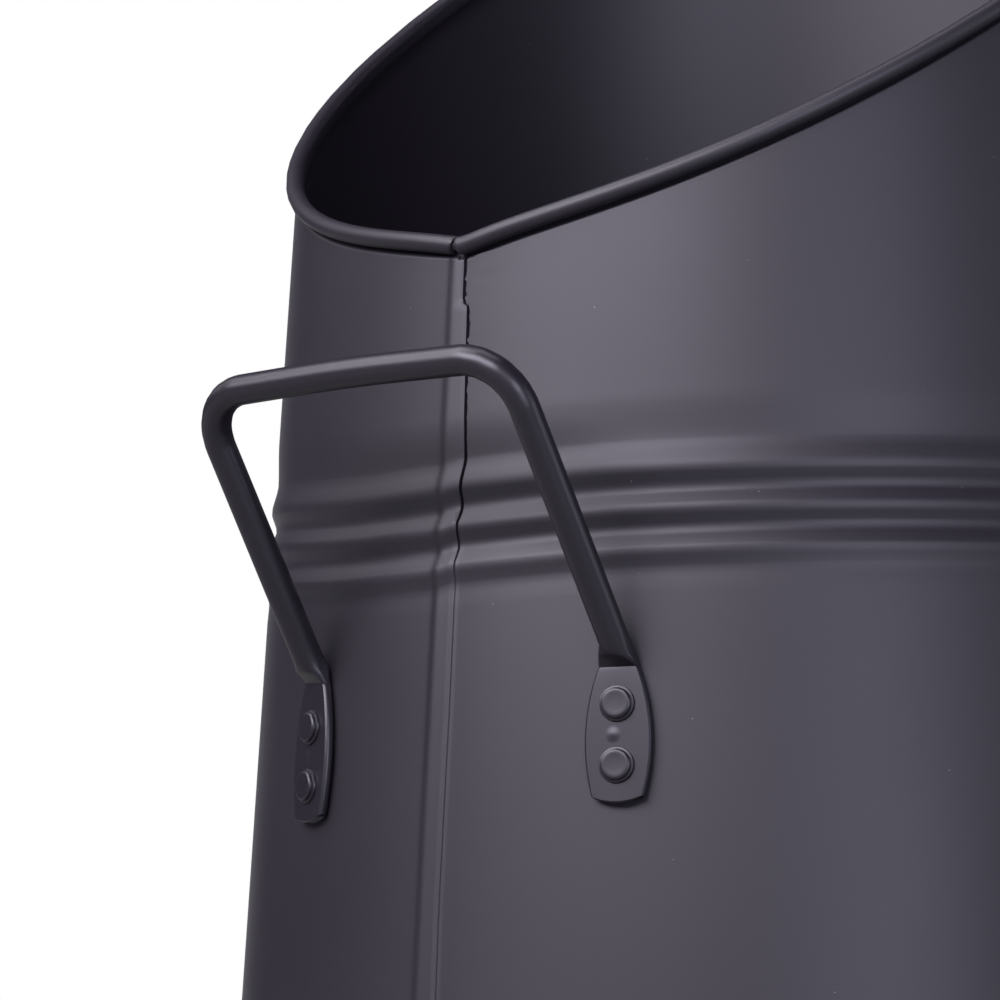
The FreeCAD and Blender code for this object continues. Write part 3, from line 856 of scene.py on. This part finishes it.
def backwards(stations):
    """The same stations, run through from the other end."""
    return [
        (spot, -along, facing, *sizes, -crown)
        for spot, along, facing, *sizes, crown in reversed(stations)]


def weld_mark(handle, foot):
    """Low, soft pimple between the two rivets of a flattened end."""
    shares = [step / WELD_RINGS for step in range(WELD_RINGS)]
    dome = [(WELD_RADIUS * (1 - share), WELD_RISE * blend_step(share)) for share in shares]
    outline = [(0, -WELD_RISE), (WELD_RADIUS, -WELD_RISE), *dome, (0, WELD_RISE)]
    piece = spun_piece("weld_mark", outline, WELD_SIDES)
    drop, face = handle.rivet_drop + handle.rivet_pitch / 2, handle.seat + handle.foot_thickness
    piece.data.transform(foot @ Matrix.Translation((-WELD_ASIDE, -drop, face)))
    return piece


def make_handle(wall, handle):
    """One rod, drawn flat and bored at both ends."""
    feet = handle_feet(wall, handle)
    half = handle.width / 2
    bar_y = wall_radius(wall, handle.bar_height) + handle.standoff
    tops = [Vector((side * half, bar_y, handle.bar_height)) for side in (1, -1)]
    necks = [neck_line(handle, foot, top) for foot, top in zip(feet, tops)]
    starts = [foot_axes(handle, foot)[0] + neck * handle.neck for foot, neck in zip(feet, necks)]
    leg = tops[0] - starts[0]
    leg.x = 0
    facing = leg.normalized().cross(ACROSS)
    line = spread(bent_line([starts[0], *tops, starts[1]], [handle.bend, handle.bend]), LEG_STEP)
    for spot in line:
        spot.z += handle.bow * blend_step((half - abs(spot.x)) / half)
    ends = [
        foot_stations(handle, foot) + neck_stations(handle, foot, neck, facing)
        for foot, neck in zip(feet, necks)]
    rod = rod_piece("rod", ends[0] + rod_stations(line, facing, handle.rod_radius) + backwards(ends[1]))
    for matrix in rivet_matrices(wall, handle):
        drill(rod, matrix, handle.shank_radius, 2 * handle.foot_thickness)
    piece = joined("tilting_handle", [rod] + [weld_mark(handle, foot) for foot in feet])
    smooth(piece, HANDLE_SHARP)
    apply_modifier(piece, "WEIGHTED_NORMAL", keep_sharp=True)
    return piece


def make_rivets(wall, handle):
    """Low drum heads outside, shanks through plate and wall, and tails inside."""
    head_seat = 2 * handle.seat + handle.foot_thickness
    hollow = handle.tail_radius ** 2 / 2 / wall_radius(wall, handle.foot_height)
    tail_seat = -wall.sheet - hollow - handle.seat
    tail_end = tail_seat - handle.tail_height
    head, top = handle.rivet_radius, head_seat + handle.rivet_height
    flange, drum, face = RIVET_FLANGE * handle.rivet_height, RIVET_DRUM * head, RIVET_FACE * head
    tail = handle.tail_radius
    outline = [
        (0, tail_end), (tail - RIVET_SOFT, tail_end), (tail, tail_end + RIVET_SOFT),
        (tail, tail_seat), (handle.shank_radius, tail_seat), (handle.shank_radius, head_seat),
        (head, head_seat), (head, head_seat + flange / 2), (RIVET_LEDGE * head, head_seat + flange),
        (drum, head_seat + DRUM_FOOT * flange)]
    shoulder = head_seat + DRUM_SHOULDER * flange
    for step in range(RIVET_ROUND + 1):
        turn = math.pi / 2 * step / RIVET_ROUND
        outline.append((between(face, drum, math.cos(turn)), between(shoulder, top, math.sin(turn))))
    outline += [(face * share, top - depth) for share, depth in RIVET_DISH]
    model = spun_piece("rivet", outline, RIVET_SIDES)
    copies = []
    for matrix in rivet_matrices(wall, handle):
        copy = model.copy()
        copy.data = model.data.copy()
        bpy.context.scene.collection.objects.link(copy)
        copy.data.transform(matrix)
        copies.append(copy)
    bpy.data.objects.remove(model)
    piece = joined("handle_rivets", copies)
    smooth(piece)
    return piece


# Ears, bail and base pan

EAR_GRID = {"x_subdivisions": 16, "y_subdivisions": 96}
EAR_TRIM = MM / 4  # taken off the length, so that the round ends keep a little width
EAR_BEVEL = 0.2  # rounding of the edges, as a share of the ear's sheet
BAIL_STEP = 5 * MM  # steps along the rod
BAIL_SOFT = 0.5 * MM  # rounding of the upset ends
PAN_SOFT = 0.4 * MM  # rounding of the turned-up rim
PAN_FLAT = 2 * MM  # the underside is flat up to this far from the wall
PAN_SIDES, PAN_SHARP = 180, 30  # steps round the pan, and degrees from which its edges stay sharp


def ear_lift(wall, bail):
    """Height of the ear's bridge over the wall, and the gap on each side of the bail's head under it."""
    straight = abs(wall_normal(wall, bail.ear_azimuth).x)
    room = bail.play + bail.head_radius * math.sqrt(1 - straight ** 2) / straight
    return bail.head_length + 2 * room, room


def hinge_point(wall, bail):
    """Point of the hinge axis in the middle of the ear at +X."""
    return wall_point(wall, bail.ear_azimuth, bail.ear_height, ear_lift(wall, bail)[0] + bail.ear_sheet / 2)


def make_ear(wall, handle, bail, name, side):
    """Strip with round ends, raised in the middle and bored for the bail."""
    lift = ear_lift(wall, bail)[0]
    round_end = bail.ear_width / 2
    straight = bail.ear_length / 2 - round_end
    begin()
    bpy.ops.mesh.primitive_grid_add(size=1, **EAR_GRID)
    ear = named(name)
    for vertex in ear.data.vertices:
        along = vertex.co.y * (bail.ear_length - EAR_TRIM)
        past = max(0, abs(along) - straight)
        half_width = math.sqrt(round_end ** 2 - past ** 2)
        ramp = (bail.ear_bridge / 2 + bail.ear_slope - abs(along)) / bail.ear_slope
        vertex.co = (2 * vertex.co.x * half_width, along, between(handle.seat, lift, blend_step(ramp)))
    apply_modifier(ear, "SOLIDIFY", thickness=bail.ear_sheet, offset=1)
    apply_modifier(ear, "BEVEL", width=bail.ear_sheet * EAR_BEVEL, segments=3, limit_method="ANGLE")
    ear.data.transform(wall_matrix(wall, side * bail.ear_azimuth, bail.ear_height))
    in_edit_mode(ear, face_outwards)
    hinge = hinge_point(wall, bail)
    across = Matrix.Translation((side * hinge.x, hinge.y, hinge.z)) @ Matrix.Rotation(math.pi / 2, 4, "Y")
    drill(ear, across, handle.rod_radius + bail.pin_clearance, bail.ear_width / 2)
    smooth(ear)
    return ear


def make_bail(wall, handle, bail):
    """Bent rod that hangs just off the front wall, with an upset head inside each ear."""
    room = ear_lift(wall, bail)[1]
    hinge = hinge_point(wall, bail)
    half_sheet = bail.ear_sheet / 2 / abs(wall_normal(wall, bail.ear_azimuth).x)
    head_face = hinge.x - half_sheet - room
    leg = hinge.x + half_sheet + bail.play + bail.foot_bend
    lean = math.atan(wall.taper)
    to_wall = (handle.rod_radius + bail.rest_gap) / math.cos(lean) + wall_radius(wall, hinge.z) + hinge.y
    hang = math.pi - math.asin(to_wall * math.cos(lean) / bail.reach) - lean
    reach = Vector((0, -math.sin(hang), math.cos(hang)))
    facing = ACROSS.cross(reach)

    def spot(x, along):
        return Vector((x, hinge.y, hinge.z)) + reach * along

    corners = [
        spot(head_face, 0), spot(leg, 0), spot(leg, bail.reach), spot(-leg, bail.reach), spot(-leg, 0),
        spot(-head_face, 0)]
    line = spread(bent_line(corners, [bail.foot_bend, bail.corner, bail.corner, bail.foot_bend]), BAIL_STEP)
    insets = [
        (bail.head_length, BAIL_SOFT), (bail.head_length - BAIL_SOFT, 0), (BAIL_SOFT, 0), (0, BAIL_SOFT)]
    sizes = [(drop, bail.head_radius - inset) for drop, inset in insets]
    heads = [[
        (spot(side * (head_face - drop), 0), ACROSS, facing, size, size, size, 0)
        for drop, size in sizes] for side in (1, -1)]
    stations = heads[0] + rod_stations(line, facing, handle.rod_radius) + heads[1][::-1]
    piece = rod_piece("carrying_bail", stations)
    smooth(piece)
    return piece


def make_pan(wall, handle):
    """Flat disc with a turned-up rim."""
    rim = wall.pan_rim
    low = wall_radius(wall, wall.sheet) + handle.seat
    high = wall_radius(wall, rim) + handle.seat
    low_out, high_out = low + wall.sheet, high + wall.sheet
    outline = [
        (0, 0), (low - PAN_FLAT, 0), (low_out - PAN_SOFT, 0), (low_out, PAN_SOFT), (high_out, rim - PAN_SOFT),
        (high_out - PAN_SOFT / 2, rim - PAN_SOFT / 4), (high + PAN_SOFT / 2, rim), (high, rim - PAN_SOFT),
        (low, wall.sheet), (low - PAN_FLAT / 2, wall.sheet), (0, wall.sheet)]
    piece = spun_piece("bottom_pan", outline, PAN_SIDES)
    smooth(piece, PAN_SHARP)
    return piece


# Finish

COAT_SHIFTS = {  # metres that each coat's pattern is moved by, so that no two share their specks
    "coated_sheet": 0, "coated_wire": 1.3, "coated_rod": 2.1, "coated_rivet": 3.7, "coated_ear": 4.4}
SPECK_RADIUS = 0.03  # as a share of the distance between the places where a speck may lie
SPECK_DRAW = 0.75  # a place stays bare where its draw is lower
SPECK_HEIGHT = 0.6  # as a share of the grain's depth
GRAIN_STRENGTH = 0.35
CLOUD_DETAIL, GRAIN_DETAIL = 4, 2
PALE_CLOUD, PALE_GRAIN, PALE_START = 0.5, 0.2, 0.15  # how far clouds and grain pale the coat, less the start
ROUGH_CLOUD, ROUGH_GRAIN, ROUGH_START = 0.07, 0.03, 0.05  # the same for its roughness


def mixed(low, high, share):
    """Colour between two colours or colour signals."""
    ends = [end if isinstance(end, Signal) else (*end, 1) for end in (low, high)]
    return share.node(
        "ShaderNodeMix", {"data_type": "RGBA"}, {"Factor": share, 6: ends[0], 7: ends[1]}, output=2)


def powder_coat(name):
    """Charcoal powder coat: faint clouds, fine grain and a few specks of dust."""
    known = bpy.data.materials.get(name)
    if known:
        return known
    finish = bpy.context.scene.hod_finish
    satin = finish.roughness if name == "coated_sheet" else finish.rod_roughness
    material = bpy.data.materials.new(name)
    material.use_nodes = True
    tree = material.node_tree
    shader = tree.nodes["Principled BSDF"]
    place = add_node(tree, "ShaderNodeTexCoord", output="Object")
    place = place.node("ShaderNodeVectorMath", {"operation": "ADD"}, {0: place, 1: [COAT_SHIFTS[name]] * 3})

    def clouds(size, detail):
        return place.node(
            "ShaderNodeTexNoise", values={"Vector": place, "Scale": 1 / size, "Detail": detail}, output="Fac")

    cloud = clouds(finish.cloud_size, CLOUD_DETAIL)
    grain = clouds(finish.grain_size, GRAIN_DETAIL)
    cells = {"Vector": place, "Scale": 1 / finish.speck_size}
    distance = place.node("ShaderNodeTexVoronoi", values=cells, output="Distance")
    draw = place.node("ShaderNodeTexWhiteNoise", values={"Vector": distance.beside("Position")})
    speck = (SPECK_RADIUS > distance) * (draw > SPECK_DRAW)
    paleness = cloud * PALE_CLOUD + grain * PALE_GRAIN - PALE_START
    colour_now = mixed(mixed(finish.coat, finish.coat_pale, paleness), finish.dust, speck)
    bump = place.node("ShaderNodeBump", values={
        "Strength": GRAIN_STRENGTH, "Distance": finish.grain_depth, "Height": grain + speck * SPECK_HEIGHT})
    roughness = satin - ROUGH_START + cloud * ROUGH_CLOUD + grain * ROUGH_GRAIN
    shader.inputs["Specular Tint"].default_value = (*finish.sheen, 1)
    for key, value in {"Base Color": colour_now, "Roughness": roughness, "Normal": bump}.items():
        tree.links.new(value.socket, shader.inputs[key])
    return material


# Stage

LAMP_TARGET = Vector((0, 0.05, 0.22))  # the lamps point at the back wall, at the height of the ribs
COOL_LAMPS = ("fill", "side")
SENSOR = 36
CLIP_NEAR, CLIP_FAR = 0.01, 100
FLOOR_ROUGHNESS, FLOOR_SPECULAR = 0.9, 0.1
FLOOR_SIDES = 96
FLOOR_DROP = 0.2 * MM  # the floor lies this far under the hod


def make_camera(stage):
    yaw = stage.camera_azimuth + stage.camera_yaw
    pitch = stage.camera_pitch
    forward = Vector((math.sin(yaw) * math.cos(pitch), -math.cos(yaw) * math.cos(pitch), math.sin(pitch)))
    level = forward.cross(UP).normalized()
    raised = level.cross(forward)
    roll = stage.camera_roll
    right = level * math.cos(roll) + raised * math.sin(roll)
    top = raised * math.cos(roll) - level * math.sin(roll)
    data = bpy.data.cameras.new("photo_camera")
    data.sensor_width = SENSOR
    data.lens = stage.lens
    data.clip_start, data.clip_end = CLIP_NEAR, CLIP_FAR
    camera = bpy.data.objects.new("photo_camera", data)
    bpy.context.scene.collection.objects.link(camera)
    matrix = Matrix((right, top, -forward)).transposed().to_4x4()
    matrix.translation = outward(-stage.camera_azimuth) * stage.camera_distance + UP * stage.camera_height
    camera.matrix_world = matrix
    bpy.context.scene.camera = camera


def make_lamp(stage, name):
    """Softbox aimed at the hod."""
    azimuth, elevation, power = (getattr(stage, f"{name}_{key}") for key in ("azimuth", "elevation", "power"))
    away = outward(-azimuth) * math.cos(elevation) + UP * math.sin(elevation)
    data = bpy.data.lights.new(name, "AREA")
    data.shape = "RECTANGLE"
    data.size, data.size_y = stage.key_width if name == "key" else stage.softbox, stage.softbox
    data.energy = power
    data.color = stage.cool if name in COOL_LAMPS else (1, 1, 1)
    lamp = bpy.data.objects.new(name, data)
    bpy.context.scene.collection.objects.link(lamp)
    lamp.location = LAMP_TARGET + away * stage.lamp_distance
    lamp.rotation_euler = away.to_track_quat("Z", "Y").to_euler()
    lamp.visible_camera = False


def seen_directly(tree):
    """1 for rays that show the background: straight from the camera, mirrored or through glass."""
    camera = add_node(tree, "ShaderNodeLightPath", output="Is Camera Ray")
    rays = camera + camera.beside("Is Glossy Ray") + camera.beside("Is Transmission Ray")
    return rays.math("MINIMUM", rays, 1)


def make_floor(stage):
    begin()
    bpy.ops.mesh.primitive_circle_add(vertices=FLOOR_SIDES, radius=stage.floor_radius, fill_type="TRIFAN")
    floor = named("studio_floor")
    material = bpy.data.materials.new("studio_floor")
    material.use_nodes = True
    material.cycles.emission_sampling = "NONE"
    tree = material.node_tree
    shader = tree.nodes["Principled BSDF"]
    shader.inputs["Base Color"].default_value = (*stage.floor, 1)
    shader.inputs["Roughness"].default_value = FLOOR_ROUGHNESS
    shader.inputs["Specular IOR Level"].default_value = FLOOR_SPECULAR
    shader.inputs["Emission Strength"].default_value = 1
    place = add_node(tree, "ShaderNodeTexCoord", output="Object")
    distance = place.node("ShaderNodeVectorMath", {"operation": "LENGTH"}, {0: place}, output="Value")
    share = place.node("ShaderNodeMapRange", {"interpolation_type": "SMOOTHSTEP"}, {
        "Value": distance, "From Min": stage.floor_near, "From Max": stage.floor_far})
    glow = mixed([stage.floor_glow] * 3, [stage.floor_far_glow] * 3, share)
    tree.links.new(mixed((0, 0, 0), glow, seen_directly(tree)).socket, shader.inputs["Emission Color"])
    floor.data.materials.append(material)
    floor.location.z = -FLOOR_DROP


def make_world(stage):
    """Dim all round, with a white backdrop behind the hod."""
    world = bpy.data.worlds.new("studio")
    bpy.context.scene.world = world
    world.use_nodes = True
    world.cycles.sampling_method = "NONE"
    tree = world.node_tree
    direction = add_node(tree, "ShaderNodeTexCoord", output="Generated")
    height = direction.node("ShaderNodeSeparateXYZ", values={0: direction}, output="Z")
    behind = -outward(-stage.camera_azimuth - stage.camera_yaw)
    aside = direction.node(
        "ShaderNodeVectorMath", {"operation": "DOT_PRODUCT"}, {0: direction, 1: behind}, output="Value")
    low = math.sin(stage.backdrop_top) > height
    white = seen_directly(tree) * low * (aside > math.cos(stage.backdrop_spread))
    background = tree.nodes["Background"]
    tree.links.new(mixed(stage.ambient, (1, 1, 1), white).socket, background.inputs["Color"])


# Operators

BODY_SHARP = 60  # degrees from which an edge of the body stays sharp


class HOD_OT_body(bpy.types.Operator):
    """Body sheet with its ribs, lapped seam and rolled rim"""

    bl_idname = "hod.body"
    bl_label = "Body sheet"

    def execute(self, context):
        wall, handle = context.scene.hod_wall, context.scene.hod_handle
        sheet = make_wall(wall)
        for matrix in rivet_matrices(wall, handle):
            drill(sheet, matrix, handle.shank_radius, 4 * wall.sheet)
        roll = make_rim(wall, "roll", wall.roll_radius, wall.split_width, wall.split_flare)
        body = joined("body_shell", [sheet, roll])
        smooth(body, BODY_SHARP)
        dress(body, "hod", "sheet_coat", powder_coat("coated_sheet"), "body_sheet")
        return {"FINISHED"}


class HOD_OT_wire(bpy.types.Operator):
    """Wire inside the rolled rim"""

    bl_idname = "hod.wire"
    bl_label = "Rim wire"

    def execute(self, context):
        wall = context.scene.hod_wall
        wire = make_rim(wall, "wire_core", wall.wire_radius, 0, 0)
        smooth(wire)
        dress(wire, "hod", "wire_coat", powder_coat("coated_wire"), "rim_wire")
        return {"FINISHED"}


class HOD_OT_pan(bpy.types.Operator):
    """Base pan with its turned-up rim"""

    bl_idname = "hod.pan"
    bl_label = "Base pan"

    def execute(self, context):
        pan = make_pan(context.scene.hod_wall, context.scene.hod_handle)
        dress(pan, "hod", "sheet_coat", powder_coat("coated_sheet"), "base_pan")
        return {"FINISHED"}


class HOD_OT_handle(bpy.types.Operator):
    """Rear handle with its flattened ends"""

    bl_idname = "hod.handle"
    bl_label = "Rear handle"

    def execute(self, context):
        handle = make_handle(context.scene.hod_wall, context.scene.hod_handle)
        dress(handle, "hod", "rod_coat", powder_coat("coated_rod"), "rear_handle")
        return {"FINISHED"}


class HOD_OT_rivets(bpy.types.Operator):
    """Rivets of the rear handle"""

    bl_idname = "hod.rivets"
    bl_label = "Handle rivets"

    def execute(self, context):
        rivets = make_rivets(context.scene.hod_wall, context.scene.hod_handle)
        dress(rivets, "hod", "rivet_coat", powder_coat("coated_rivet"), "rear_handle_rivets")
        return {"FINISHED"}


class HOD_OT_ears(bpy.types.Operator):
    """Pressed ears that carry the bail"""

    bl_idname = "hod.ears"
    bl_label = "Bail ears"

    def execute(self, context):
        scene = context.scene
        for node in ("left_ear", "right_ear"):
            side = math.copysign(1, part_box(node)[0][0])
            name = node.replace("ear", "bail_ear")
            ear = make_ear(scene.hod_wall, scene.hod_handle, scene.hod_bail, name, side)
            dress(ear, "hod", "ear_coat", powder_coat("coated_ear"), node)
        return {"FINISHED"}


class HOD_OT_bail(bpy.types.Operator):
    """Carrying bail with its upset ends"""

    bl_idname = "hod.bail"
    bl_label = "Bail"

    def execute(self, context):
        scene = context.scene
        bail = make_bail(scene.hod_wall, scene.hod_handle, scene.hod_bail)
        dress(bail, "bail", "rod_coat", powder_coat("coated_rod"), "bail")
        return {"FINISHED"}


class HOD_OT_stage(bpy.types.Operator):
    """Camera, lamps, floor and background"""

    bl_idname = "hod.stage"
    bl_label = "Stage"

    def execute(self, context):
        stage = context.scene.hod_stage
        context.scene.view_settings.view_transform = "Standard"
        make_camera(stage)
        for lamp, *_ in LAMPS:
            make_lamp(stage, lamp)
        make_floor(stage)
        make_world(stage)
        return {"FINISHED"}


OPERATORS = [
    HOD_OT_body, HOD_OT_wire, HOD_OT_pan, HOD_OT_handle, HOD_OT_rivets, HOD_OT_ears, HOD_OT_bail,
    HOD_OT_stage]
GROUPS = {
    "hod_wall": HodWall, "hod_handle": HodHandle, "hod_bail": HodBail, "hod_finish": HodFinish,
    "hod_stage": HodStage}


class HOD_PT_pieces(bpy.types.Panel):
    """Lists the pieces of the hod and the values that shape them"""

    bl_idname = "HOD_PT_pieces"
    bl_label = "Coal hod"
    bl_space_type = "VIEW_3D"
    bl_region_type = "UI"
    bl_category = "Coal hod"

    def draw(self, context):
        for operator in OPERATORS:
            self.layout.operator(operator.bl_idname)
        for name, group in GROUPS.items():
            box = self.layout.box()
            for key in group.__annotations__:
                box.prop(getattr(context.scene, name), key)


CLASSES = [*GROUPS.values(), *OPERATORS, HOD_PT_pieces]


def register():
    for entry in CLASSES:
        bpy.utils.register_class(entry)
    for name, group in GROUPS.items():
        setattr(bpy.types.Scene, name, bpy.props.PointerProperty(type=group))


def unregister():
    for name in GROUPS:
        delattr(bpy.types.Scene, name)
    for entry in reversed(CLASSES):
        bpy.utils.unregister_class(entry)


def main():
    register()
    for operator in OPERATORS:
        getattr(bpy.ops.hod, operator.bl_idname.split(".")[1])()


if __name__ == "__main__":
    main()
